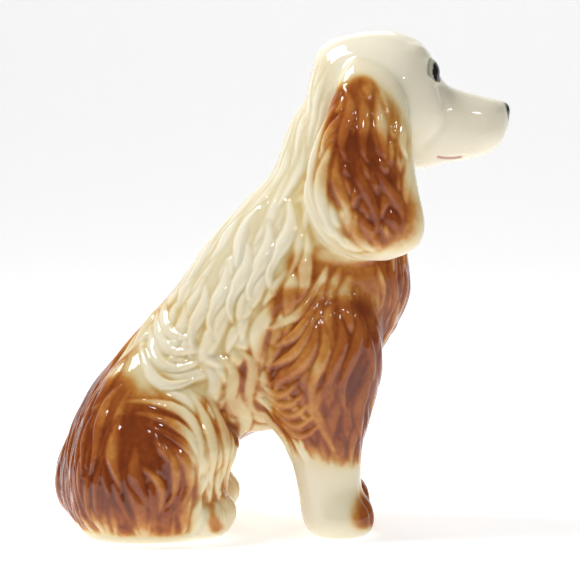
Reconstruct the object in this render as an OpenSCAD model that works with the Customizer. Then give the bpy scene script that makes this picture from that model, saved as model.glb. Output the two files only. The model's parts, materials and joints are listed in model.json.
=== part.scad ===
// Sitting spaniel figurine, slip cast in earthenware sections that are luted together and glazed.
// The dog faces +X, its left side is +Y and it stands on z = 0. Sizes are in millimetres.

/* [Figure] */
// Height from the table to the top of the skull
figure_height = 194; // [170:2:230]
// Thickness of the slip-cast wall
wall = 4; // [3:0.5:5]
// How far the head is turned towards the dog's left, in degrees
head_turn = 0; // [0:1:10]
// Lift of the ear away from the side of the head
ear_lift = 0; // [-1:0.5:2]

/* [Base] */
// Thickness of the unglazed sole that closes the base
sole_thickness = 4; // [3:0.5:5]
// Diameter of the drain hole in the sole
drain_hole_d = 14; // [8:1:18]
// Diameter of the vents pierced between two hollow sections
vent_d = 5; // [3:1:6]

/* [Hidden] */

design_height = 194;                 // the rows below draw a figure of this height
k = figure_height / design_height;
shell = wall / k;
sole_t = sole_thickness / k;
drain_r = drain_hole_d / 2 / k;
vent_r = vent_d / 2 / k;
left = 1;
right = -1;
fine = 30;                           // sides of a large section
coarse = 20;                         // sides of a small section
cream = "#efe6c8";
russet = "#a3562a";
enamel = "#26221f";
biscuit = "#e9e2d2";

// Each row is one oval section: x and z of its rear (or lower) edge, x and z of its front (or upper)
// edge, y of its middle, its half width along Y, and its squareness (2 is an ellipse). Rows run from
// the top of a section down, or from its back to its front.
trunk_rows = [
    [ 16, 173,  40, 165, 0, 10, 2.0],
    [ 10, 167,  45, 155, 0, 17, 2.0],
    [  4, 158,  48, 142, 0, 21, 2.0],
    [ -1, 144,  49, 127, 0, 22, 2.0],
    [ -6, 135,  50, 114, 0, 23, 2.1],
    [-15, 127,  51, 102, 0, 25, 2.1],
    [-24, 117,  51,  91, 0, 27, 2.1],
    [-33, 105,  46,  79, 0, 28, 2.1],
    [-43,  92,  39,  68, 0, 28, 2.1],
    [-53,  81,  31,  57, 0, 27, 2.1],
    [-64,  68,  19,  48, 0, 27, 2.1],
    [-73,  57,   5,  41, 0, 27, 2.1],
    [-80,  45,  -9,  37, 0, 28, 2.1],
    [-84,  33, -19,  30, 0, 29, 2.1],
    [-86,  22, -24,  21, 0, 29, 2.2],
    [-86,  12, -26,  12, 0, 29, 2.2],
    [-82,   4, -28,   4, 0, 27, 2.2],
    [-76,  -2, -32,  -2, 0, 23, 2.2]];

head_rows = [
    [10, 159, 10, 167, 0,  4, 2.0],
    [12, 150, 12, 177, 0, 12, 2.0],
    [15, 144, 15, 186, 0, 17, 2.0],
    [21, 141, 21, 191, 0, 20, 2.0],
    [30, 140, 30, 193, 0, 22, 2.1],
    [39, 140, 39, 194, 0, 24, 2.1],
    [47, 140, 47, 193, 0, 24, 2.2],
    [54, 140, 54, 190, 0, 22, 2.2],
    [59, 141, 59, 184, 0, 19, 2.3],
    [63, 142, 63, 175, 0, 16, 2.4],
    [67, 143, 67, 172, 0, 15, 2.5],
    [74, 144, 74, 170, 0, 14, 2.6],
    [81, 146, 81, 168, 0, 13, 2.6],
    [86, 150, 86, 167, 0, 10, 2.4],
    [89, 157, 89, 163, 0,  5, 2.2]];

ear_rows = [
    [28, 182, 35, 182, 17,  2, 2.0],
    [24, 177, 43, 177, 20,  5, 2.1],
    [20, 167, 48, 167, 24,  7, 2.2],
    [15, 154, 50, 154, 26,  8, 2.3],
    [11, 141, 51, 141, 27,  8, 2.3],
    [ 9, 130, 53, 130, 27,  8, 2.3],
    [12, 120, 55, 120, 27,  8, 2.3],
    [18, 112, 53, 112, 27,  7, 2.2],
    [25, 108, 47, 108, 26,  5, 2.0],
    [32, 106, 41, 106, 26,  2, 2.0]];

foreleg_rows = [
    [11, 105, 27, 105, 12,  4, 2.0],
    [ 4,  97, 34,  97, 15, 10, 2.0],
    [-3,  85, 38,  86, 17, 14, 2.1],
    [-7,  72, 40,  73, 18, 15, 2.1],
    [-9,  59, 39,  60, 18, 15, 2.1],
    [-6,  47, 36,  48, 18, 14, 2.1],
    [ 1,  37, 33,  37, 17, 13, 2.1],
    [ 5,  27, 32,  28, 17, 12, 2.1],
    [ 7,  18, 32,  18, 17, 12, 2.1],
    [ 8,  11, 36,  12, 17, 13, 2.2],
    [ 9,   6, 37,   7, 17, 14, 2.2],
    [11,   2, 36,   2, 17, 12, 2.2],
    [15,  -2, 31,  -2, 17,  8, 2.2]];

haunch_rows = [
    [-54, 74, -44, 74, 14,  3, 2.0],
    [-62, 67, -35, 67, 17,  8, 2.0],
    [-70, 56, -26, 56, 20, 13, 2.1],
    [-76, 44, -18, 46, 22, 16, 2.1],
    [-79, 33, -14, 36, 24, 17, 2.1],
    [-80, 23, -19, 25, 24, 18, 2.2],
    [-79, 12, -20, 13, 24, 18, 2.2],
    [-76,  4, -24,  4, 23, 16, 2.2],
    [-70, -2, -32, -2, 22, 11, 2.2]];

hind_paw_rows = [
    [-46, 4, -46, 17, 25,  8, 2.1],
    [-38, 0, -38, 20, 25, 12, 2.1],
    [-29, 0, -29, 20, 25, 13, 2.2],
    [-22, 1, -22, 18, 24, 12, 2.3],
    [-18, 4, -18, 15, 23,  8, 2.2],
    [-16, 8, -16, 12, 23,  4, 2.0]];

tail_rows = [
    [-79, 41, -73, 40, 0, 2, 2.0],
    [-83, 37, -70, 36, 0, 6, 2.0],
    [-87, 28, -72, 27, 0, 8, 2.1],
    [-89, 17, -74, 17, 0, 8, 2.1],
    [-87,  8, -74,  8, 0, 6, 2.0],
    [-82,  3, -76,  3, 0, 2, 2.0]];

sole_x = [-61, -43];                 // middles of the round corners of the sole, rear and front
sole_y = 12;
sole_r = 12;
vents_at = [[-48, 20, 30], [15, 8, 62]];
vent_reach = 16;
eye_at = [55, 11.5, 177];
eye_r = 6.5;
inset = 1.5;                         // how far the enamelled eyes and nose sink into the head
neck_at = [24, 0, 136];              // where the head section is luted on
neck_tilt = 24;

// Smooth curve through the rows, at u from 0 to 1
function blend4(a, b, c, d, t) =
    0.5 * (2 * b + (c - a) * t + (2 * a - 5 * b + 4 * c - d) * t * t + (3 * b - a - 3 * c + d) * t * t * t);
function row_at(rows, u) =
    let (n = len(rows) - 1, s = min(u * n, n - 0.0001), i = floor(s))
    blend4(rows[max(i - 1, 0)], rows[i], rows[i + 1], rows[min(i + 2, n)], s - i);
function bent(v, power) = sign(v) * pow(abs(v), 2 / power);
function ring(row, grow, sides) =
    let (across = [row[2] - row[0], row[3] - row[1]] / 2, half = norm(across),
         reach = across * max(half + grow, 0.5) / half, half_y = max(row[5] + grow, 0.5))
    [for (j = [0 : sides - 1])
        let (a = 360 * j / sides, d = bent(cos(a), row[6]), w = bent(sin(a), row[6]))
        [(row[0] + row[2]) / 2 + d * reach[0], row[4] + w * half_y, (row[1] + row[3]) / 2 + d * reach[1]]];

// Closed skin over the rows, grown outwards by grow, over the part of its length from u0 to u1
module loft(rows, steps, sides, grow = 0, u0 = 0, u1 = 1) {
    rings = [for (i = [0 : steps]) ring(row_at(rows, u0 + (u1 - u0) * i / steps), grow, sides)];
    points = [for (r = rings, p = r) p];
    last = steps * sides;
    walls = [for (i = [0 : steps - 1], j = [0 : sides - 1])
        let (a = i * sides + j, b = i * sides + (j + 1) % sides)
        each [[a, b, b + sides], [a, b + sides, a + sides]]];
    caps = [[for (j = [sides - 1 : -1 : 0]) j], [for (j = [0 : sides - 1]) last + j]];
    polyhedron(points, concat(walls, caps), convexity = 6);
}

// Fuses what it holds into one faceted skin
module one_skin() {
    resize([0, 0, 0]) children();
}

module on_side(side) {
    scale([1, side, 1]) children();
}

module above_floor() {
    intersection() {
        children();
        translate([-150, -100, 0]) cube([300, 200, 260]);
    }
}

module turned_head() {
    translate(neck_at) rotate([0, 0, head_turn]) translate(-neck_at) children();
}

module trunk_form(grow = 0) {
    loft(trunk_rows, 40, fine, grow);
}

module head_form(grow = 0, u0 = 0, u1 = 1) {
    turned_head() loft(head_rows, 32, fine, grow, u0, u1);
}

module neck_block() {
    translate(neck_at) rotate([0, neck_tilt, 0]) translate([-100, -100, 0]) cube([200, 200, 120]);
}

module ear_form(side) {
    turned_head() on_side(side) translate([0, ear_lift, 0]) loft(ear_rows, 18, coarse);
}

module foreleg_form(side, grow = 0, u0 = 0, u1 = 1) {
    on_side(side) loft(foreleg_rows, 26, coarse, grow, u0, u1);
}

module haunch_form(side, grow = 0, u0 = 0, u1 = 1) {
    on_side(side) loft(haunch_rows, 20, coarse, grow, u0, u1);
}

module hind_paw_form(side) {
    on_side(side) loft(hind_paw_rows, 12, coarse);
}

module tail_form() {
    loft(tail_rows, 12, 14);
}

module sole_outline() {
    for (x = sole_x, side = [left, right]) translate([x, side * sole_y]) circle(r = sole_r, $fn = 48);
    translate([sole_x[0], -sole_y - sole_r]) square([sole_x[1] - sole_x[0], 2 * (sole_y + sole_r)]);
    translate([sole_x[0] - sole_r, -sole_y]) square([sole_x[1] - sole_x[0] + 2 * sole_r, 2 * sole_y]);
}

module sole_block() {
    translate([0, 0, -1]) linear_extrude(sole_t + 1) sole_outline();
}

// Vents that let the air out of a hollow leg or haunch into the body while it is fired
module vents() {
    for (at = vents_at, side = [left, right])
        translate([at[0], side * at[1], at[2]]) rotate([-side * 90, 0, 0])
            cylinder(r = vent_r, h = vent_reach, $fn = 24);
}

module torso_casting() {
    color(cream) one_skin() difference() {
        above_floor() trunk_form();
        neck_block();
        sole_block();
        loft(trunk_rows, 30, coarse, -shell, 0.02, 0.98);
        vents();
    }
}

module head_casting() {
    color(cream) one_skin() difference() {
        union() {
            head_form();
            intersection() {
                trunk_form();
                neck_block();
            }
        }
        translate(neck_at) rotate([0, neck_tilt, 0]) translate([-100, -100, -200]) cube([200, 200, 200]);
        head_form(-shell, 0.14, 0.86);
        loft(trunk_rows, 30, coarse, -shell, 0.02, 0.98);
        for (side = [left, right]) eye_form(side);
        nose_form();
    }
}

module eye_form(side) {
    turned_head() difference() {
        translate([eye_at[0], side * eye_at[1], eye_at[2]]) sphere(r = eye_r, $fn = 32);
        loft(head_rows, 32, fine, -inset);
    }
}

module nose_form() {
    turned_head() difference() {
        hull() {
            for (side = [left, right]) translate([86, side * 3, 163]) sphere(r = 3.5, $fn = 20);
            translate([87, 0, 160]) sphere(r = 2.5, $fn = 20);
        }
        loft(head_rows, 32, fine, -inset);
    }
}

module eye(side) {
    color(enamel) one_skin() eye_form(side);
}

module nose_pad() {
    color(enamel) one_skin() nose_form();
}

module ear(side) {
    color(russet) one_skin() difference() {
        ear_form(side);
        head_form();
        trunk_form();
        foreleg_form(side);
    }
}

module foreleg(side) {
    color(russet) one_skin() difference() {
        above_floor() foreleg_form(side);
        trunk_form();
        foreleg_form(side, -shell, 0.14, 0.88);
    }
}

module haunch(side) {
    color(russet) one_skin() difference() {
        above_floor() haunch_form(side);
        trunk_form();
        sole_block();
        haunch_form(side, -shell, 0.1, 0.9);
    }
}

module hind_paw(side) {
    color(cream) one_skin() difference() {
        above_floor() hind_paw_form(side);
        haunch_form(side);
        trunk_form();
    }
}

module tail() {
    color(russet) one_skin() difference() {
        above_floor() tail_form();
        trunk_form();
        haunch_form(left);
    }
}

module base_sole() {
    color(biscuit) difference() {
        linear_extrude(sole_t) sole_outline();
        translate([(sole_x[0] + sole_x[1]) / 2, 0, -1]) cylinder(r = drain_r, h = sole_t + 2, $fn = 64);
    }
}

scale(k) {
    torso_casting();
    head_casting();
    ear(left);  // left_ear
    ear(right);  // right_ear
    foreleg(left);  // left_foreleg
    foreleg(right);  // right_foreleg
    haunch(left);  // left_haunch
    haunch(right);  // right_haunch
    hind_paw(left);  // left_hind_paw
    hind_paw(right);  // right_hind_paw
    tail();
    base_sole();
    eye(left);  // left_eye
    eye(right);  // right_eye
    nose_pad();
}
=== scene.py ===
# Sitting spaniel, slip cast in earthenware and glazed. All modelling below is in millimetres and is
# scaled to metres when the pieces are made. The dog faces +X and its left side is +Y.
import json
import math

import bpy
import bmesh
import numpy as np
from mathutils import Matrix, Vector
from mathutils.bvhtree import BVHTree
from mathutils.kdtree import KDTree


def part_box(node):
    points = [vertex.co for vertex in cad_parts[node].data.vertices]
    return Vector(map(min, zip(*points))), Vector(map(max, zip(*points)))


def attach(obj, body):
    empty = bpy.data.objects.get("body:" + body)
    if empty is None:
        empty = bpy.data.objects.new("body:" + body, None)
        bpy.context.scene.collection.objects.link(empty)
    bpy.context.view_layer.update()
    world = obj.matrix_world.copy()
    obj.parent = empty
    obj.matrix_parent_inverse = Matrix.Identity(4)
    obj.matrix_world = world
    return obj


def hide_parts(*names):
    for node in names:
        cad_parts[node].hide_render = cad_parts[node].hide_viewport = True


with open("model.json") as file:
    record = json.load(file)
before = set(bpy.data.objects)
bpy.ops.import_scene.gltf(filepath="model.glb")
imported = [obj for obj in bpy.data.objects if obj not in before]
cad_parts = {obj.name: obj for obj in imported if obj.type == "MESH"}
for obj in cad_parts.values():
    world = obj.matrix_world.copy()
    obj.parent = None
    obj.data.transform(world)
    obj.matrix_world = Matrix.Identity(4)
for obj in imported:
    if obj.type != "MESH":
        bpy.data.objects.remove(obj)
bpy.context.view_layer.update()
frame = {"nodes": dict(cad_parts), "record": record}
mm = 0.001
rng = np.random.default_rng(11)
print("stage: frame loaded")

studio = {
    "cameraDistance": 650, "cameraHeight": 140, "aimX": 4.3, "aimZ": 93.1, "lens": 103.3,
    "paperColour": "#ffffff", "paperGlow": 0.52, "roomColour": "#ffffff", "roomStrength": 0.17,
    # place, size and watts of each lamp; the two small ones make the sparks on the locks
    "lamps": {
        "key softbox": ((-270, 10, 680), (250, 250), 3.4),
        "front spot": ((330, -620, 520), (46, 46), 0.45),
        "left spot": ((-120, -700, 460), (30, 54), 0.4),
        "back softbox": ((-100, 620, 700), (500, 300), 0.4)},
}


def linear(hexColour):
    channels = [int(hexColour[i:i + 2], 16) / 255 for i in (1, 3, 5)]
    return [c / 12.92 if c <= 0.04045 else ((c + 0.055) / 1.055) ** 2.4 for c in channels] + [1.0]


def addNode(tree, kind, settings=None, links=None):
    # settings: socket or property name -> value, links: input name -> (node, output name)
    node = tree.nodes.new(kind)
    for name, value in (settings or {}).items():
        if isinstance(name, int) or name in node.inputs:
            node.inputs[name].default_value = value
        else:
            setattr(node, name, value)
    for name, (source, output) in (links or {}).items():
        tree.links.new(source.outputs[output], node.inputs[name])
    return node


def newMaterial(name):
    material = bpy.data.materials.new(name)
    material.use_nodes = True
    material.node_tree.nodes.clear()
    return material, material.node_tree


def softbox(name, place, aim, width, height, power, colour="#ffffff"):
    lamp = bpy.data.lights.new(name, "AREA")
    lamp.shape = "RECTANGLE"
    lamp.size, lamp.size_y = width * mm, height * mm
    lamp.energy = power
    lamp.color = linear(colour)[:3]
    holder = bpy.data.objects.new(name, lamp)
    holder.location = Vector(place) * mm
    holder.rotation_euler = (Vector(aim) - Vector(place)).to_track_quat("-Z", "Y").to_euler()
    bpy.context.scene.collection.objects.link(holder)


def buildStudio():
    cam = bpy.data.cameras.new("camera")
    cam.lens = studio["lens"]
    cam.clip_start = 0.05
    holder = bpy.data.objects.new("camera", cam)
    place = Vector((studio["aimX"], -studio["cameraDistance"], studio["cameraHeight"]))
    aim = Vector((studio["aimX"], 0, studio["aimZ"]))
    holder.location = place * mm
    holder.rotation_euler = (aim - place).to_track_quat("-Z", "Y").to_euler()
    bpy.context.scene.collection.objects.link(holder)
    bpy.context.scene.camera = holder

    # seamless paper: flat under the dog, curving up behind it
    profile = [(-3.0, 0.0), (0.9, 0.0)]
    profile += [(0.9 + 0.8 * math.sin(t), 0.8 - 0.8 * math.cos(t))
                for t in np.radians(np.arange(10, 91, 10))]
    profile += [(1.7, 3.0)]
    verts = [(x, y, z) for y, z in profile for x in (-3.0, 3.0)]
    faces = [(2 * k, 2 * k + 1, 2 * k + 3, 2 * k + 2) for k in range(len(profile) - 1)]
    mesh = bpy.data.meshes.new("paperSweep")
    mesh.from_pydata(verts, [], faces)
    mesh.polygons.foreach_set("use_smooth", [True] * len(faces))
    floor = bpy.data.objects.new("paperSweep", mesh)
    floor.location.z = -0.0003
    bpy.context.scene.collection.objects.link(floor)
    material, tree = newMaterial("white studio paper")
    shader = addNode(tree, "ShaderNodeBsdfPrincipled",
                     {"Base Color": linear(studio["paperColour"]), "Roughness": 0.9,
                      "Specular IOR Level": 0.2, "Emission Color": (1, 1, 1, 1),
                      "Emission Strength": studio["paperGlow"]})
    addNode(tree, "ShaderNodeOutputMaterial", links={"Surface": (shader, "BSDF")})
    mesh.materials.append(material)

    world = bpy.data.worlds.new("white room")
    world.use_nodes = True
    world.node_tree.nodes["Background"].inputs["Color"].default_value = linear(studio["roomColour"])
    world.node_tree.nodes["Background"].inputs["Strength"].default_value = studio["roomStrength"]
    bpy.context.scene.world = world
    for name, (place, size, watts) in studio["lamps"].items():
        softbox(name, place, (0, 0, 95), *size, watts)
    view = bpy.context.scene.view_settings
    view.view_transform = "Standard"


buildStudio()
print("stage: studio ready")

# One skin is drawn over all the cast sections, so that the joints between them are sponged smooth,
# and it is cut apart along those joints at the end.
skin = {
    "voxel": 0.6,             # edge of the surface cells
    "seamSoften": 20,         # passes that blend the luted joints
    "earSoften": 4,           # passes on the ears, where the joint stays a crease
    "plug": 9,                # radius that fills the drain hole while the skin is made
}


def fuseSections():
    joined = bmesh.new()
    for node in frame["nodes"].values():
        joined.from_mesh(node.data)
    low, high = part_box("base_sole")
    middle = (low + high) / 2
    radius = skin["plug"] * mm
    plug = bmesh.ops.create_cone(joined, cap_ends=True, segments=32, radius1=radius, radius2=radius,
                                 depth=high.z - low.z)
    bmesh.ops.translate(joined, verts=plug["verts"], vec=middle)
    mesh = bpy.data.meshes.new("skin")
    joined.to_mesh(mesh)
    joined.free()
    holder = bpy.data.objects.new("skin", mesh)
    bpy.context.scene.collection.objects.link(holder)
    remesh = holder.modifiers.new("remesh", "REMESH")
    remesh.mode = "VOXEL"
    remesh.voxel_size = skin["voxel"] * mm
    remesh.use_smooth_shade = True
    graph = bpy.context.evaluated_depsgraph_get()
    fused = bpy.data.meshes.new_from_object(holder.evaluated_get(graph))
    bpy.data.objects.remove(holder)
    points = np.zeros(len(fused.vertices) * 3, np.float32)
    fused.vertices.foreach_get("co", points)
    points = points.reshape(-1, 3).astype(float) / mm
    quads = np.zeros(len(fused.loops), np.int32)
    fused.loops.foreach_get("vertex_index", quads)
    quads = quads.reshape(-1, 4)
    keep = largestIsland(quads, len(points))
    new = np.cumsum(keep) - 1
    quads = new[quads[keep[quads].all(axis=1)]]
    return points[keep], quads


def largestIsland(quads, count):
    edges = np.concatenate([quads[:, [0, 1]], quads[:, [1, 2]], quads[:, [2, 3]]])
    label = np.arange(count)
    while True:
        low = np.minimum(label[edges[:, 0]], label[edges[:, 1]])
        new = label.copy()
        np.minimum.at(new, edges[:, 0], low)
        np.minimum.at(new, edges[:, 1], low)
        new = new[new]
        if (new == label).all():
            break
        label = new
    values, counts = np.unique(label, return_counts=True)
    return label == values[np.argmax(counts)]


def uniqueEdges(quads):
    edges = np.concatenate([quads[:, [0, 1]], quads[:, [1, 2]], quads[:, [2, 3]], quads[:, [3, 0]]])
    return np.unique(np.sort(edges, axis=1), axis=0)


def spread(values, edges, weight=None, times=1, amount=0.6):
    # moves every value towards the mean of its neighbours
    count = len(values)
    degree = np.bincount(edges.ravel(), minlength=count).astype(float)
    columns = values.reshape(count, -1).copy()
    share = amount if weight is None else (amount * weight)[:, None]
    for _ in range(times):
        total = np.stack([np.bincount(edges[:, 0], columns[edges[:, 1], c], count)
                          + np.bincount(edges[:, 1], columns[edges[:, 0], c], count)
                          for c in range(columns.shape[1])], axis=1)
        columns += share * (total / degree[:, None] - columns)
    return columns.reshape(values.shape)


def vertexNormals(points, quads):
    across = np.cross(points[quads[:, 2]] - points[quads[:, 0]], points[quads[:, 3]] - points[quads[:, 1]])
    normals = np.stack([sum(np.bincount(quads[:, k], across[:, c], len(points)) for k in range(4))
                        for c in range(3)], axis=1)
    return normals / np.maximum(np.linalg.norm(normals, axis=1, keepdims=True), 1e-9)


def nearestSection(points):
    # the CAD node whose surface lies closest to each point
    corners, faces, owner = [], [], []
    names = sorted(frame["nodes"])
    for index, name in enumerate(names):
        start = len(corners)
        mesh = frame["nodes"][name].data
        corners += [tuple(v.co / mm) for v in mesh.vertices]
        for polygon in mesh.polygons:
            faces.append([start + i for i in polygon.vertices])
            owner.append(index)
    tree = BVHTree.FromPolygons(corners, faces)
    owner = np.array(owner)
    found = np.array([tree.find_nearest(p)[2] for p in points.tolist()])
    return owner[found], names


def step(value, low, high):
    t = np.clip((value - low) / (high - low), 0, 1)
    return t * t * (3 - 2 * t)


points, quads = fuseSections()
edges = uniqueEdges(quads)
section, sectionNames = nearestSection(points)
print("stage: skin fused,", len(points), "points")


def inSections(*names):
    return np.isin(section, [sectionNames.index(n) for n in names]).astype(float)


earMask = spread(inSections("left_ear", "right_ear"), edges, times=4)
featureMask = spread(inSections("left_eye", "right_eye", "nose_pad"), edges, times=6)
soften = 1 - 0.85 * np.clip(earMask, 0, 1) - np.clip(featureMask, 0, 1)
points = spread(points, edges, np.clip(soften, 0.0, 1), skin["seamSoften"])
points = spread(points, edges, None, skin["earSoften"])

# Arcs are drawn on the side of the dog as x and z: root, tip, and the bow to the left of the way from
# root to tip as a share of its length. A third number makes the arc an S.
def arcLine(root, tip, bow=0.0, ess=0.0):
    root, way = np.array(root, float), np.subtract(tip, root).astype(float)
    left = np.array((-way[1], way[0]))
    t = np.linspace(0, 1, 11)[:, None]
    return root + way * t + left * (bow * 4 * t * (1 - t) + ess * np.sin(2 * math.pi * t))


def sideDistance(points, line):
    # distance in the side view to a line of x and z
    best = np.full(len(points), 1e9)
    flat = points[:, [0, 2]]
    for a, b in zip(line[:-1], line[1:]):
        ab = b - a
        t = np.clip(((flat - a) @ ab) / max(ab @ ab, 1e-9), 0, 1)
        best = np.minimum(best, np.linalg.norm(flat - a - t[:, None] * ab, axis=1))
    return best


features = {
    "cheekFold": arcLine((61, 171), (55, 149), 0.2),
    "mouthLine": arcLine((61, 145), (70, 145), -0.05),
    "foreToes": [11, 17, 23], "hindToes": [19, 25, 31],
    # middle, radii and height of the soft swellings of the head
    "swellings": [((54, 14, 186), (8, 8, 4), 1.0), ((60, 17, 162), (12, 10, 12), 0.8),
                  ((80, 10, 152), (10, 8, 9), 0.8)],
    # depth and half width of the modelled lines
    "foldDepth": 0.9, "foldWidth": 2.0, "mouthDepth": 0.4, "mouthWidth": 0.8, "lipDepth": 0.7,
    "toeGroove": 1.2, "toeWidth": 1.2, "creaseDepth": 0.9,
    "pawCreases": [arcLine((-27, 19), (-31, 4), 0.1), arcLine((-22, 17), (-21, 4), 0.12)],
}


def bump(points, centre, radius):
    # 1 at the centre and 0 at the radius, on both sides of the dog
    where = points.copy()
    where[:, 1] = np.abs(where[:, 1])
    d = np.linalg.norm((where - np.array(centre)) / np.array(radius), axis=1)
    return step(1 - d, 0, 1)


def modelFeatures(points, normals):
    move = np.zeros(len(points))
    headZone = inSections("head_casting", "left_eye", "right_eye", "nose_pad")
    for middle, radii, height in features["swellings"]:
        move += height * bump(points, middle, radii) * headZone
    facing = step(np.abs(normals[:, 1]), 0.2, 0.5) * headZone
    fold = sideDistance(points, features["cheekFold"]) / features["foldWidth"]
    move -= features["foldDepth"] * np.exp(-fold ** 2) * facing
    mouth = sideDistance(points, features["mouthLine"]) / features["mouthWidth"]
    move -= features["mouthDepth"] * np.exp(-mouth ** 2) * facing
    lipZone = step(points[:, 0], 84, 87) * step(160 - points[:, 2], 0, 2) * headZone
    move -= features["lipDepth"] * np.exp(-points[:, 1] ** 2) * lipZone         # split of the upper lip
    forward = step(normals[:, 0] + 0.6 * normals[:, 2], 0.2, 0.8)
    for feet, toes, front in ((("left_foreleg", "right_foreleg"), features["foreToes"], (27, 33)),
                              (("left_hind_paw", "right_hind_paw"), features["hindToes"], (-30, -23))):
        foot = inSections(*feet) * forward * step(points[:, 0], *front) * (1 - step(points[:, 2], 13, 20))
        for y in toes:
            gap = np.abs(np.abs(points[:, 1]) - y)
            move -= features["toeGroove"] * np.exp(-(gap / features["toeWidth"]) ** 2) * foot
    paw = inSections("left_hind_paw", "right_hind_paw", "left_haunch", "right_haunch")
    paw *= normals[:, 1] * points[:, 1] > 0                                     # on the outer side only
    for crease in features["pawCreases"]:
        move -= features["creaseDepth"] * np.exp(-(sideDistance(points, crease) / 0.9) ** 2) * paw
    return points + normals * move[:, None]


normals = vertexNormals(points, quads)
points = modelFeatures(points, normals)
print("stage: features modelled")

# How the hair falls: arcs on the side of the body and on the ear.
bodySweeps = [
    arcLine((20, 185), (5, 145), -0.1),             # nape
    arcLine((12, 150), (2, 118), -0.05),
    arcLine((0, 135), (-12, 100), -0.1),            # withers and back
    arcLine((-5, 135), (-50, 85), 0.0),
    arcLine((8, 125), (2, 98), 0.1),
    arcLine((-20, 112), (-25, 75), -0.12),
    arcLine((-32, 98), (-30, 72), -0.2),
    arcLine((-45, 90), (-63, 65), -0.05),
    arcLine((-48, 84), (-30, 70), -0.45),           # the curl on the flank
    arcLine((-52, 73), (-26, 68), -0.3),
    arcLine((-8, 95), (-28, 70), 0.0),
    arcLine((-28, 68), (-14, 46), 0.0, 0.15),       # belly
    arcLine((-6, 88), (-16, 58), 0.15),
    arcLine((-10, 62), (8, 58), -0.35),             # elbow
    arcLine((-8, 50), (12, 50), -0.3),
    arcLine((18, 105), (-6, 72), 0.2),              # shoulder and foreleg
    arcLine((15, 92), (-4, 60), 0.15),
    arcLine((34, 98), (31, 34), 0.0),
    arcLine((25, 95), (22, 34), 0.0, 0.06),
    arcLine((14, 82), (14, 30), 0.0, 0.1),
    arcLine((5, 62), (10, 34), -0.2),
    arcLine((48, 108), (41, 74), 0.15),             # chest
    arcLine((40, 106), (39, 76), 0.1),
    arcLine((-55, 60), (-30, 18), 0.3),             # thigh
    arcLine((-50, 50), (-36, 16), 0.3),
    arcLine((-50, 44), (-45, 15), 0.25),
    arcLine((-58, 52), (-50, 15), -0.15),
    arcLine((-24, 52), (-25, 15), 0.05),
    arcLine((-18, 46), (-20, 25), 0.1),
    arcLine((-58, 78), (-82, 25), -0.08),           # rump and the fringe over the base
    arcLine((-56, 66), (-70, 15), -0.05),
    arcLine((-80, 22), (-72, 5), -0.2),
    arcLine((-62, 25), (-60, 4), 0.0),
    arcLine((-45, 18), (-45, 3), 0.0)]
earSweeps = [
    arcLine((20, 168), (13, 128), -0.12),
    arcLine((13, 128), (34, 110), -0.25),
    arcLine((30, 173), (22, 138), 0.0, 0.1),
    arcLine((38, 172), (47, 116), 0.04),
    arcLine((31, 158), (37, 112), 0.0, 0.08),
    arcLine((22, 142), (27, 115), -0.05)]
coat = {
    # each layer: locks that cover a place, and its width and height against the figures below
    "layers": [(1.8, 0.95, 0.7), (1.2, 1.1, 0.95)],
    "stepLength": 1.4, "soften": 3, "sink": 0.6, "wipedLocks": 0.05,
    # half width, length, height and wave (degrees) of a lock in each part of the coat
    "body": (3.4, 36, 1.8, 22), "thigh": (2.7, 34, 1.4, 12), "rump": (1.8, 28, 0.95, 8),
    "neck": (2.4, 32, 0.9, 12), "ear": (2.8, 26, 1.4, 24), "leg": (2.7, 34, 1.35, 20),
    "chest": (2.4, 30, 1.2, 14),
}


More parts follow.
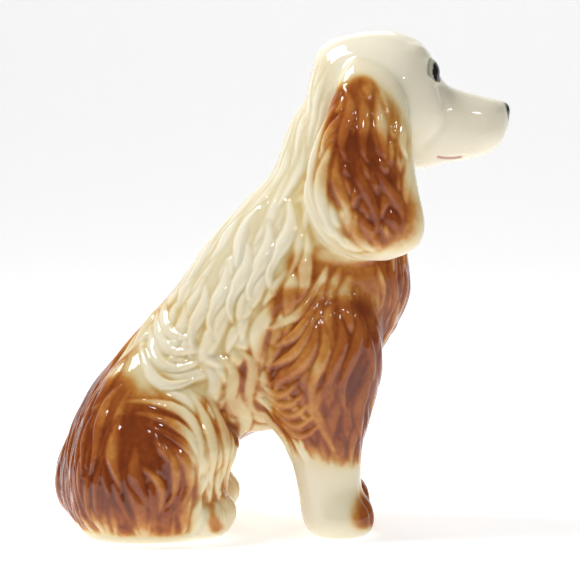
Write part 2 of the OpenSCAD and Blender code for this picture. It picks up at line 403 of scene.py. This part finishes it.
def broadLocks():
    # single broad locks laid over the rest: side arc, on the ear or not, half width, height, and the
    # share of the stain that is wiped off
    locks = []

    def strand(root, tip, bow, ess, onEar, halfWidth, tall, wiped=0):
        locks.append((arcLine(root, tip, bow, ess), onEar, halfWidth, tall, wiped))

    for k in range(6):                                        # strands that fall in an S from the spine
        root = (4 - 8 * k, 128 - 8 * k)
        strand(root, (root[0] - 7 + k, root[1] - 34 + 2 * k), -0.02 * k, 0.09, False, 3.2, 1.9)
    for k in range(4):                                        # the curl on the flank
        strand((-44 - 3 * k, 92 - 6 * k), (-30 + k, 77 - 4 * k), -0.4, 0, False, 2.7, 1.8)
    for k in range(4):                                        # long strands from shoulder to elbow
        strand((18 - k, 104 - 7 * k), (-5, 80 - 7 * k), 0.16, 0, False, 2.8, 1.8, 0.1)
    for k in range(5):                                        # the curls that turn under the elbow
        strand((-10 + 2.5 * k, 62 - 4 * k), (8 + 2 * k, 62 - 4 * k), -0.38, 0, False, 2.0, 1.5, 0.1)
    for k in range(3):                                        # strands down the foreleg
        strand((16 + 6 * k, 84 + 3 * k), (14 + 6 * k, 48), 0.0, 0.09, False, 2.7, 1.5, 0.3 - 0.15 * k)
    for k in range(3):                                        # belly
        strand((-30 + 7 * k, 67 + 3 * k), (-19 + 7 * k, 44 + k), 0.0, 0.16, False, 2.6, 1.7)
    for k in range(4):                                        # round the thigh
        strand((-57 + 4 * k, 54 - 4 * k), (-30 - 4 * k, 22 - 4 * k), 0.36, 0, False, 2.3, 1.5,
               0.15 * (k == 1))
    for k in range(2):                                        # two pale leaves in the middle of the thigh
        strand((-50 + 9 * k, 30 + 8 * k), (-45 + 4 * k, 12 + 3 * k), 0.25 - 0.1 * k, 0, False, 1.9, 1.4, 0.3)
    for k in range(2):                                        # in front of the thigh
        strand((-34 + 7 * k, 58 - 2 * k), (-26 + 4 * k, 20), 0.14, 0, False, 2.6, 1.4)
    for k in range(2):                                        # the long tongue behind the ear
        strand((21 - k, 164 - 14 * k), (16 + 6 * k, 120 - 7 * k), -0.16, 0, True, 3.0, 1.6)
    for k in range(3):                                        # across the ear
        strand((24 + 6 * k, 171 - k), (26 + 7 * k, 142), 0.0, 0.1 - 0.05 * k, True, 2.7, 1.2)
        strand((22 + 7 * k, 146 - 2 * k), (27 + 9 * k, 116 - k), 0.08 * k - 0.04, -0.06, True, 2.6, 1.2)
    return locks


def sweepField(lines):
    spots, ways = [], []
    for line in lines:
        for a, b in zip(line[:-1], line[1:]):
            spots.append((a + b) / 2)
            ways.append((b - a) / np.linalg.norm(b - a))
    return np.array(spots), np.array(ways)


def fieldAt(places, spots, ways):
    out = np.zeros((len(places), 2))
    for start in range(0, len(places), 20000):
        part = places[start:start + 20000]
        d2 = ((part[:, None, :] - spots[None]) ** 2).sum(axis=2)
        weight = 1 / (d2 + 2.0) ** 1.6
        out[start:start + 20000] = weight @ ways
    return out / np.maximum(np.linalg.norm(out, axis=1, keepdims=True), 1e-9)


def flowField(points, normals):
    side = np.stack([points[:, 0], points[:, 2]], axis=1)
    body = fieldAt(side, *sweepField(bodySweeps))
    ear = fieldAt(side, *sweepField(earSweeps))
    isEar = inSections("left_ear", "right_ear")[:, None] > 0.5
    flat = np.where(isEar, ear, body)
    sign = np.sign(points[:, 1])
    away = np.zeros(len(points))
    away += 0.25 * step(-normals[:, 0], 0.3, 0.9) * sign * step(np.abs(points[:, 1]), 0, 6)
    away -= 0.3 * step(normals[:, 0], 0.4, 0.9) * sign * step(100 - points[:, 2], 0, 20)
    flow = np.stack([flat[:, 0], away, flat[:, 1]], axis=1)
    flow += np.array([0, 0, -0.25])
    flow -= normals * (flow * normals).sum(axis=1, keepdims=True)
    return flow / np.maximum(np.linalg.norm(flow, axis=1, keepdims=True), 1e-9)


def coatStyle(point, name):
    x, y, z = point
    if "ear" in name:
        return coat["ear"]
    if "foreleg" in name:
        return coat["leg"]
    if "haunch" in name and x > -60:
        return coat["thigh"]
    if name == "tail" or (x < -52 and z < 78) or z < 14:
        return coat["rump"]
    if name == "head_casting" or z > 128:
        return coat["neck"]
    if x > 30:
        return coat["chest"]
    return coat["body"]


def coatAmount(points, normals):
    # 1 where locks are modelled, 0 on the smooth face, lower legs and paws
    x, y, z = points[:, 0], np.abs(points[:, 1]), points[:, 2]
    head = inSections("head_casting", "left_eye", "right_eye", "nose_pad")
    head = np.clip(spread(head, edges, times=4), 0, 1)
    amount = 1 - head * np.maximum(step(x, 14, 26), step(z, 176, 188))
    amount *= 1 - step(x, 45, 50) * step(z, 112, 120) * (1 - earMask)
    leg = inSections("left_foreleg", "right_foreleg")
    amount *= 1 - leg * (1 - step(z, 24, 38))
    amount *= 1 - 0.4 * leg * step(x, 26, 36)
    amount *= 1 - inSections("left_hind_paw", "right_hind_paw", "base_sole")
    amount *= step(z, 1.0, 6)
    # the fold below the ear is left smooth, and so are the rim and the root of the ear
    fold = bump(points, (26, 27, 108), (20, 14, 5)) * (1 - earMask)
    amount *= 1 - 0.9 * step(fold, 0.05, 0.5)
    oval = np.hypot((x - 30) / 19, (z - 141) / 33)
    amount *= 1 - earMask * step(oval, 0.93, 1.1)
    outward = (normals * np.sign(points[:, 1:2]))[:, 1]
    amount *= 1 - earMask * step(-outward, 0.1, 0.6)
    return spread(np.clip(amount, 0, 1), edges, times=8)


def seedPoints(points, amount, tree, cover):
    # roots of the locks, spread so that each place is covered by a few locks, lowest first
    free = amount > 0.2
    chosen = []
    for index in rng.permutation(len(points)).tolist():
        if not free[index]:
            continue
        chosen.append(index)
        halfWidth, length = coatStyle(points[index], sectionNames[section[index]])[:2]
        spacing = math.sqrt(1.4 * halfWidth * length / cover)
        free[[i for _, i, _ in tree.find_range(points[index], spacing)]] = False
    return sorted(chosen, key=lambda i: points[i, 2] + rng.uniform(-6, 6))


def lockLine(seed, length, wave, mood, points, normals, flow, amount, tree):
    # walks over the skin along the fall of the hair, swinging from side to side
    stride = coat["stepLength"]
    period = length * (1.05 + 0.15 * mood)
    phase = 0.05 * points[seed].sum() + 0.4 * mood
    here, at = points[seed].copy(), seed
    line, across = [here.copy()], [normals[at]]
    for k in range(max(int(length / stride), 4)):
        angle = math.radians(wave) * math.sin(phase + 2 * math.pi * k * stride / period)
        side = np.cross(normals[at], flow[at])
        way = flow[at] * math.cos(angle) + side * math.sin(angle)
        spot, at, _ = tree.find(here + way * stride)
        here = np.array(spot)
        if amount[at] < 0.1 or normals[at] @ across[-1] < 0.3:
            break
        line.append(here.copy())
        across.append(normals[at])
    return line, across


def layLock(line, across, halfWidth, tall, mood, wiped, points, normals, tree, coatNow):
    # a lock lies over the ones below it and leaves a groove along its edge
    line, across = spreadLine(np.array(line)), np.array(across)
    middle = line[len(line) // 2]
    reach = np.linalg.norm(line - middle, axis=1).max() + halfWidth * 1.5
    near = np.array([i for _, i, _ in tree.find_range(middle, reach)])
    d, u, lean = lineFrame(points[near], normals[near], line, across)
    taper = np.minimum(0.4 + 2.0 * u, 1) * np.minimum((1 - u) / 0.5, 1) ** 0.75
    width = np.maximum(halfWidth * taper, 0.25)
    v = d / width
    rise = np.minimum(0.35 + 1.5 * u, 1) * np.minimum((1 - u) / 0.15, 1) ** 0.5
    shape = np.clip(1 - v ** 2, 0, 1) ** 1.1
    strand = 1 - 0.16 * (0.5 + 0.5 * np.cos(2 * math.pi * (0.9 * lean / width + 0.25 * mood))) * shape
    own = tall * rise * shape * strand
    left = coatNow["height"][near] * step(v, 0.7, 1.45)
    onTop = own >= left
    coatNow["tint"][near] = np.where(onTop, mood, coatNow["tint"][near])
    coatNow["bare"][near] = np.where(onTop, wiped, coatNow["bare"][near])
    coatNow["height"][near] = np.maximum(own, left)


def modelCoat(points, normals):
    amount = coatAmount(points, normals)
    flow = flowField(points, normals)
    tree = KDTree(len(points))
    for index, point in enumerate(points.tolist()):
        tree.insert(point, index)
    tree.balance()
    coatNow = {"height": np.full(len(points), 0.25), "tint": np.zeros(len(points)),
               "bare": np.zeros(len(points))}
    total = 0
    for cover, widen, raiseBy in coat["layers"]:
        for seed in seedPoints(points, amount, tree, cover):
            halfWidth, length, tall, wave = coatStyle(points[seed], sectionNames[section[seed]])
            length *= rng.uniform(0.7, 1.3)
            halfWidth *= widen * rng.uniform(0.75, 1.25)
            tall *= raiseBy * rng.uniform(0.8, 1.1)
            mood = rng.uniform(-1, 1)
            line, across = lockLine(seed, length, wave, mood, points, normals, flow, amount, tree)
            if len(line) > 4:
                wiped = 0.3 * (rng.random() < coat["wipedLocks"])
                layLock(line, across, halfWidth, tall, mood, wiped, points, normals, tree, coatNow)
                total += 1
    for arc, onEar, halfWidth, tall, wiped in broadLocks():
        for side in (1, -1):
            line, across = onSkin(arc, side, onEar, points, normals)
            mood = rng.uniform(-0.6, 0.6)
            layLock(line, across, halfWidth, tall, mood, wiped, points, normals, tree, coatNow)
            total += 1
    height = spread(coatNow["height"] * amount, edges, times=coat["soften"], amount=0.5)
    print("stage: coat of", total, "locks")
    tint = spread(coatNow["tint"], edges, times=2)
    bare = spread(coatNow["bare"], edges, times=3)
    return height, amount, tint, bare, flow


def onSkin(arc, side, onEar, points, normals):
    # the arc laid on the outer skin of one side of the dog
    wanted = np.array([("ear" in name) == onEar for name in sectionNames])
    pool = np.flatnonzero(wanted[section] & (points[:, 1] * side > 0) & (normals[:, 1] * side > 0.15))
    line, across = [], []
    for x, z in arc:
        d = np.hypot(points[pool, 0] - x, points[pool, 2] - z) - 0.05 * np.abs(points[pool, 1])
        at = pool[np.argmin(d)]
        line.append(points[at].copy())
        across.append(normals[at])
    return line, across


def spreadLine(line):
    for _ in range(3):
        line[1:-1] = 0.5 * line[1:-1] + 0.25 * (line[:-2] + line[2:])
    return line


def lineFrame(near, nearNormals, line, across):
    best = np.full(len(near), 1e9)
    along = np.zeros(len(near))
    lean = np.zeros(len(near))
    total = len(line) - 1
    for k in range(total):
        a, b = line[k], line[k + 1]
        ab = b - a
        length = max(np.linalg.norm(ab), 1e-6)
        t = np.clip(((near - a) @ ab) / length ** 2, 0, 1)
        off = near - a - t[:, None] * ab
        off -= across[k] * (off @ across[k])[:, None] * 0.7
        d = np.linalg.norm(off, axis=1) + 9 * (nearNormals @ across[k] < 0.15)
        closer = d < best
        best[closer] = d[closer]
        along[closer] = (k + t[closer]) / total
        lean[closer] = (off @ (np.cross(across[k], ab) / length))[closer]
    return best, along, lean


normals = vertexNormals(points, quads)
height, amount, tint, bare, flow = modelCoat(points, normals)
points = points + normals * (height - coat["sink"] * amount)[:, None]
points[:, 2] = np.maximum(points[:, 2], 0)

# Airbrush passes on the side of the dog: from, to (x and z), radius of the spray, density of the stain.
bodyPasses = [
    ((-60, 98), (-82, 66), 15.5, 0.63),              # rump
    ((-80, 52), (-80, 20), 17, 0.65),
    ((-72, 38), (-66, 20), 13, 0.63),
    ((-63, 54), (-56, 44), 9, 0.55),
    ((-50, 38), (-48, 22), 16.5, 0.66),             # thigh
    ((-76, 18), (-44, 15), 12, 0.62),
    ((-24, 9), (-23, 6), 2.6, 0.5),                 # hind paw
    ((-25, 14), (-24, 9), 1.5, 0.45),
    ((27, 78), (28, 46), 15.5, 0.66),               # foreleg
    ((8, 70), (11, 50), 15, 0.56),
    ((16, 86), (14, 80), 10, 0.54),
    ((3, 90), (18, 92), 7, 0.42),
    ((28, 94), (38, 92), 9, 0.4),
    ((51, 104), (45, 83), 9.5, 0.55),               # chest
    ((36, 10), (37, 12), 8, 0.64)]                  # toes
earPasses = [
    ((27, 163), (25, 150), 8.5, 0.5),
    ((31, 170), (33, 160), 5, 0.42),
    ((37, 161), (42, 150), 8, 0.28),
    ((31, 145), (37, 128), 12, 0.67),
    ((25, 138), (42, 124), 10, 0.56),
    ((33, 119), (44, 119), 8, 0.47)]
# Thin washes that settle between the locks; those under the ear fold, beside the neck, on the belly and on
# the shin also paint the shade that falls there
washesAndShade = [((-10, 62), (-14, 46), 13, 0.5), ((-26, 48), (-22, 14), 8, 0.32), ((-14, 84), (4, 96), 8, 0.18),
          ((10, 104), (42, 104), 8, 0.42), ((-40, 66), (-26, 62), 8, 0.16), ((22, 32), (24, 20), 12, 0.1),
          ((-34, 84), (-12, 76), 12, 0.12), ((13, 134), (9, 112), 7, 0.12)]
# Painted eye: middle of the bead, which way it looks, and half angles of pupil and outline seen from
# there, with the share of black in the iris and in the shade around the eye
eye = {
    "middle": (55, 11.5, 177), "look": (0.94, 0.34, 0.0), "reach": 7.4,
    "pupil": 40, "outline": 57, "brush": 5, "iris": 0.42, "shade": 0.16,
}
spray = {
    "feather": 9,             # mm over which a pass fades at its edge
    "raggedness": 2,        # mm by which single locks carry the stain further
    "wipedBody": 0.07, "wipedEar": 0.03,     # share of the stain that is wiped off the crests
    "haze": 0.08, "hazeReach": 9,            # overspray beyond a pass: density and mm
}


def airbrush(places, passes, groove, crest, tint):
    # the stain stays in the grooves beyond the edge of a pass and is wiped off the crests
    stain = np.zeros(len(places))
    for start, end, radius, density in passes:
        d = sideDistance(places, np.array((start, end), float))
        level = np.clip(0.5 + (radius - d) / (2 * min(spray["feather"], 0.75 * radius)), 0, 1)
        level += (0.3 * (groove - 0.3) + 0.06 * tint) * (level > 0) * (1 - level)
        haze = spray["haze"] * np.exp(-np.maximum(d - radius, 0) / spray["hazeReach"])
        stain = np.maximum(stain, np.maximum(density * step(level, 0.08, 0.85), haze))
    return stain * (1 - crest)


def paintDecoration(points, groove, crest, bare, tint, flow):
    places = points - flow * (spray["raggedness"] * tint)[:, None]
    isEar = inSections("left_ear", "right_ear") > 0.5
    isHead = inSections("head_casting") > 0.5
    body = airbrush(places, bodyPasses, groove, np.maximum(spray["wipedBody"] * crest, bare), tint)
    # the washes add painted shade as well as stain, most of it in the grooves
    for start, end, radius, density in washesAndShade:
        d = sideDistance(places, np.array((start, end), float))
        body = np.maximum(body, density * (0.5 + 0.8 * groove) * step(radius * 1.4 - d, 0, radius))
    body *= step(points[:, 2], 1.5, 6)                                       # the foot rim stays cream
    ear = airbrush(places, earPasses, groove, np.maximum(spray["wipedEar"] * crest, bare), tint)
    # stain here holds the airbrushed stain and the painted shade of the washes
    stain = np.where(isEar, ear, np.where(isHead, 0, body))
    stain = spread(stain, edges, times=2)
    side = points.copy()
    side[:, 1] = np.abs(side[:, 1])
    ray = side - np.array(eye["middle"])
    look = np.array(eye["look"]) / np.linalg.norm(eye["look"])
    distance = np.linalg.norm(ray, axis=1)
    angle = np.degrees(np.arccos(np.clip((ray @ look) / np.maximum(distance, 1e-6), -1, 1)))
    onEye = (distance < eye["reach"]) & (inSections("left_eye", "right_eye", "head_casting") > 0)
    ink = (onEye & (angle < eye["pupil"])).astype(float)
    ink = np.maximum(ink, eye["iris"] * (onEye & (angle < eye["outline"])))
    ink = np.maximum(ink, 0.7 * np.exp(-((angle - eye["outline"]) / eye["brush"]) ** 2) * onEye)
    ink = np.maximum(ink, eye["shade"] * bump(points, (58, 12, 171), (7, 8, 6)) * isHead)
    nose = step(bump(points, (88.5, 0, 162), (5.5, 8, 7.5)), 0.05, 0.12)
    nose *= inSections("nose_pad", "head_casting")
    ink = np.maximum(ink, spread(nose, edges, times=1))
    lip = np.exp(-(sideDistance(points, features["mouthLine"]) / 0.5) ** 2)
    lip *= isHead * (np.abs(normals[:, 1]) > 0.25)
    return stain, ink, lip


groove = np.clip(amount * (1 - height / 0.7), 0, 1)
crest = amount * step(height, 0.8, 1.7)
stain, ink, lip = paintDecoration(points, groove, crest, bare, tint, flow)
print("stage: decoration painted")

glaze = {
    # colour of the fired stain by its density
    "stops": [(0.0, "#f2ead2"), (0.14, "#ead5a4"), (0.34, "#cb8c42"), (0.5, "#ad6228"),
              (0.66, "#8f4315"), (0.84, "#6b2d0e"), (1.0, "#471d0a")],
    # the pooled colour is thick glaze in the grooves and also painted shade there
    "ink": "#14110f", "lip": "#b88068", "pooledGlazeAndShade": "#ded3ae",
    "cloudSize": 14, "fleckSize": 2.2, "peelSize": 5,      # mm
    # grooveDarkens: extra stain density in the grooves, partly pooled stain and partly painted shade
    "grooveDarkens": 0.2, "lockVaries": 0.09, "cloudVaries": 0.5,
}


def glazedEarthenware(name):
    # Airbrushed stain under a thick clear lead-free glaze: glassy highlights, colour deeper where
    # the glaze pools between the locks, darker there also as painted shade, and thin and pale over their
    # crests.
    material, tree = newMaterial(name)
    painted = {key: addNode(tree, "ShaderNodeAttribute", {"attribute_name": key})
               for key in ("stain", "groove", "tint", "ink", "lip")}
    place = addNode(tree, "ShaderNodeTexCoord")
    cloud = addNode(tree, "ShaderNodeTexNoise",
                    {"Scale": 1 / (glaze["cloudSize"] * mm), "Detail": 3.0, "Roughness": 0.55},
                    {"Vector": (place, "Object")})
    fleck = addNode(tree, "ShaderNodeTexNoise", {"Scale": 1 / (glaze["fleckSize"] * mm), "Detail": 2.0},
                    {"Vector": (place, "Object")})
    # stain density: passes of the airbrush, single locks and specks of pigment vary a little, and it is
    # raised in the grooves, partly as pooled stain and partly as painted shade
    vary = addNode(tree, "ShaderNodeMath",
                   {"operation": "MULTIPLY_ADD", 1: glaze["cloudVaries"],
                    2: -0.5 * glaze["cloudVaries"] - 0.14},
                   {0: (cloud, "Fac")})
    vary = addNode(tree, "ShaderNodeMath", {"operation": "MULTIPLY_ADD", 1: glaze["lockVaries"]},
                   {0: (painted["tint"], "Fac"), 2: (vary, 0)})
    vary = addNode(tree, "ShaderNodeMath", {"operation": "MULTIPLY_ADD", 1: 0.14},
                   {0: (fleck, "Fac"), 2: (vary, 0)})
    vary = addNode(tree, "ShaderNodeMath", {"operation": "MULTIPLY_ADD", 1: glaze["grooveDarkens"]},
                   {0: (painted["groove"], "Fac"), 2: (vary, 0)})
    gate = addNode(tree, "ShaderNodeMapRange", {"From Min": 0.0, "From Max": 0.4},
                   {"Value": (painted["stain"], "Fac")})
    density = addNode(tree, "ShaderNodeMath", {"operation": "MULTIPLY_ADD"},
                      {0: (vary, 0), 1: (gate, 0), 2: (painted["stain"], "Fac")})
    ramp = addNode(tree, "ShaderNodeValToRGB", links={"Fac": (density, 0)})
    stops = ramp.color_ramp.elements
    stops[0].position, stops[1].position = glaze["stops"][0][0], glaze["stops"][-1][0]
    stops[0].color, stops[1].color = linear(glaze["stops"][0][1]), linear(glaze["stops"][-1][1])
    for position, colour in glaze["stops"][1:-1]:
        stops.new(position).color = linear(colour)
    # the clear glaze is faintly green where it is thick, and this darkening of the grooves also paints the
    # shade that falls in them
    depth = addNode(tree, "ShaderNodeMath", {"operation": "MULTIPLY", 1: 0.8, "use_clamp": True},
                    {0: (painted["groove"], "Fac")})
    colour = addNode(tree, "ShaderNodeMix",
                     {"data_type": "RGBA", "blend_type": "MULTIPLY", 7: linear(glaze["pooledGlazeAndShade"])},
                     {0: (depth, 0), 6: (ramp, "Color")})
    for key in ("lip", "ink"):
        colour = addNode(tree, "ShaderNodeMix", {"data_type": "RGBA", 7: linear(glaze[key])},
                         {0: (painted[key], "Fac"), 6: (colour, 2)})
    peel = addNode(tree, "ShaderNodeTexNoise", {"Scale": 1 / (glaze["peelSize"] * mm), "Detail": 1.0},
                   {"Vector": (place, "Object")})
    flow = addNode(tree, "ShaderNodeBump", {"Strength": 0.25, "Distance": 0.0004},
                   {"Height": (peel, "Fac")})
    shader = addNode(tree, "ShaderNodeBsdfPrincipled",
                     {"Roughness": 0.45, "Specular IOR Level": 0.0, "IOR": 1.5, "Coat Weight": 1.0,
                      "Coat Roughness": 0.025, "Coat IOR": 1.5, "Subsurface Weight": 0.08,
                      "Subsurface Scale": 0.003},
                     {"Base Color": (colour, 2), "Coat Normal": (flow, "Normal")})
    addNode(tree, "ShaderNodeOutputMaterial", links={"Surface": (shader, "BSDF")})
    return material


def biscuitWare():
    # Bare fired clay, chalky and slightly sandy
    material, tree = newMaterial("unglazed biscuit earthenware")
    place = addNode(tree, "ShaderNodeTexCoord")
    grain = addNode(tree, "ShaderNodeTexNoise", {"Scale": 1 / (0.9 * mm), "Detail": 4.0},
                    {"Vector": (place, "Object")})
    ramp = addNode(tree, "ShaderNodeValToRGB", links={"Fac": (grain, "Fac")})
    ramp.color_ramp.elements[0].color = linear("#cfc3a6")
    ramp.color_ramp.elements[1].color = linear("#e8dfca")
    rough = addNode(tree, "ShaderNodeBump", {"Strength": 0.3, "Distance": 0.0002},
                    {"Height": (grain, "Fac")})
    shader = addNode(tree, "ShaderNodeBsdfPrincipled", {"Roughness": 0.85},
                     {"Base Color": (ramp, "Color"), "Normal": (rough, "Normal")})
    addNode(tree, "ShaderNodeOutputMaterial", links={"Surface": (shader, "BSDF")})
    return material


glazes = {
    "cream_glaze": glazedEarthenware("cream glazed earthenware"),
    "russet_glaze": glazedEarthenware("russet stained glazed earthenware"),
    "black_enamel": glazedEarthenware("black enamelled earthenware"),
}
biscuit = biscuitWare()
print("stage: glazes mixed")

slotOf = {s["node"]: s["material_slot"] for s in frame["record"]["subparts"]}
pieceNames = {
    "torso_casting": "torsoSkin", "head_casting": "headSkin", "left_ear": "leftEar", "right_ear": "rightEar",
    "left_foreleg": "leftForeleg", "right_foreleg": "rightForeleg", "left_haunch": "leftHaunch",
    "right_haunch": "rightHaunch", "left_hind_paw": "leftHindPaw", "right_hind_paw": "rightHindPaw",
    "tail": "dockedTail", "left_eye": "leftEye", "right_eye": "rightEye", "nose_pad": "noseEnamel",
}


def calmSections(labels, passes=6):
    # evens out the borders between the sections
    labels = labels.copy()
    count = len(labels)
    for _ in range(passes):
        votes = np.zeros((count, len(sectionNames)), np.float32)
        rows = np.concatenate([edges[:, 0], edges[:, 1]])
        votes[np.arange(count), labels] += 1.5
        np.add.at(votes, (rows, labels[np.concatenate([edges[:, 1], edges[:, 0]])]), 1)
        labels = votes.argmax(axis=1)
    return labels


def boundaryLoops(faces):
    directed = {}
    for face in faces:
        for a, b in zip(face, np.roll(face, -1)):
            directed[(int(a), int(b))] = True
    follow = {}
    for a, b in directed:
        if (b, a) not in directed:
            follow.setdefault(b, []).append(a)      # the closing face runs the other way
    loops = []
    while follow:
        start = next(iter(follow))
        loop, at = [], start
        while at in follow:
            loop.append(at)
            nexts = follow[at]
            after = nexts.pop()
            if not nexts:
                del follow[at]
            at = after
            if at == start:
                break
        loops.append(loop)
    return loops


def buildPieces(points, quads, normals, attributes):
    labels = calmSections(section)
    corner = labels[quads]
    faceSection = np.where(corner[:, 0] == corner[:, 1], corner[:, 0],
                           np.where(corner[:, 2] == corner[:, 3], corner[:, 2], corner[:, 0]))
    for index, name in enumerate(sectionNames):
        if name == "base_sole":
            continue
        faces = quads[faceSection == index]
        if not len(faces):
            continue
        used, inverse = np.unique(faces, return_inverse=True)
        faces = inverse.reshape(-1, 4)
        verts = points[used]
        caps = []
        for loop in boundaryLoops(faces.tolist()):
            if len(loop) < 3:
                continue
            verts = np.vstack([verts, verts[loop].mean(axis=0)])
            hub = len(verts) - 1
            caps += [(loop[k], loop[(k + 1) % len(loop)], hub) for k in range(len(loop))]
        mesh = bpy.data.meshes.new(pieceNames[name])
        mesh.from_pydata((verts * mm).tolist(), [], faces.tolist() + caps)
        extra = len(verts) - len(used)
        for key, values in attributes.items():
            layer = mesh.attributes.new(key, "FLOAT", "POINT")
            padded = np.concatenate([values[used], np.zeros(extra)])
            layer.data.foreach_set("value", padded.astype(np.float32))
        mesh.polygons.foreach_set("use_smooth", [True] * len(faces) + [False] * len(caps))
        mesh.update()
        split = np.zeros((len(mesh.loops), 3))
        split[:len(faces) * 4] = normals[used][faces.ravel()]
        for k, cap in enumerate(caps):
            start = len(faces) * 4 + 3 * k
            split[start:start + 3] = mesh.polygons[len(faces) + k].normal
        mesh.normals_split_custom_set(split.tolist())
        piece = bpy.data.objects.new(pieceNames[name], mesh)
        bpy.context.scene.collection.objects.link(piece)
        mesh.materials.append(glazes[slotOf[name]])
        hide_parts(name)
        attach(piece, "root")


def buildSole():
    source = frame["nodes"]["base_sole"]
    mesh = source.data.copy()
    mesh.name = "biscuitSole"
    mesh.materials.clear()
    mesh.materials.append(biscuit)
    sole = bpy.data.objects.new("biscuitSole", mesh)
    bpy.context.scene.collection.objects.link(sole)
    bevel = sole.modifiers.new("rubbed edge", "BEVEL")
    bevel.width = 0.4 * mm
    bevel.segments = 2
    bevel.limit_method = "ANGLE"
    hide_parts("base_sole")
    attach(sole, "root")


normals = vertexNormals(points, quads)
# the stain attribute also carries the painted shade of the washes, and groove drives the painted shade in
# the grooves
painted = {"stain": stain, "groove": groove, "tint": tint, "ink": ink, "lip": lip}
buildPieces(points, quads, normals, painted)
buildSole()
print("stage: pieces built")
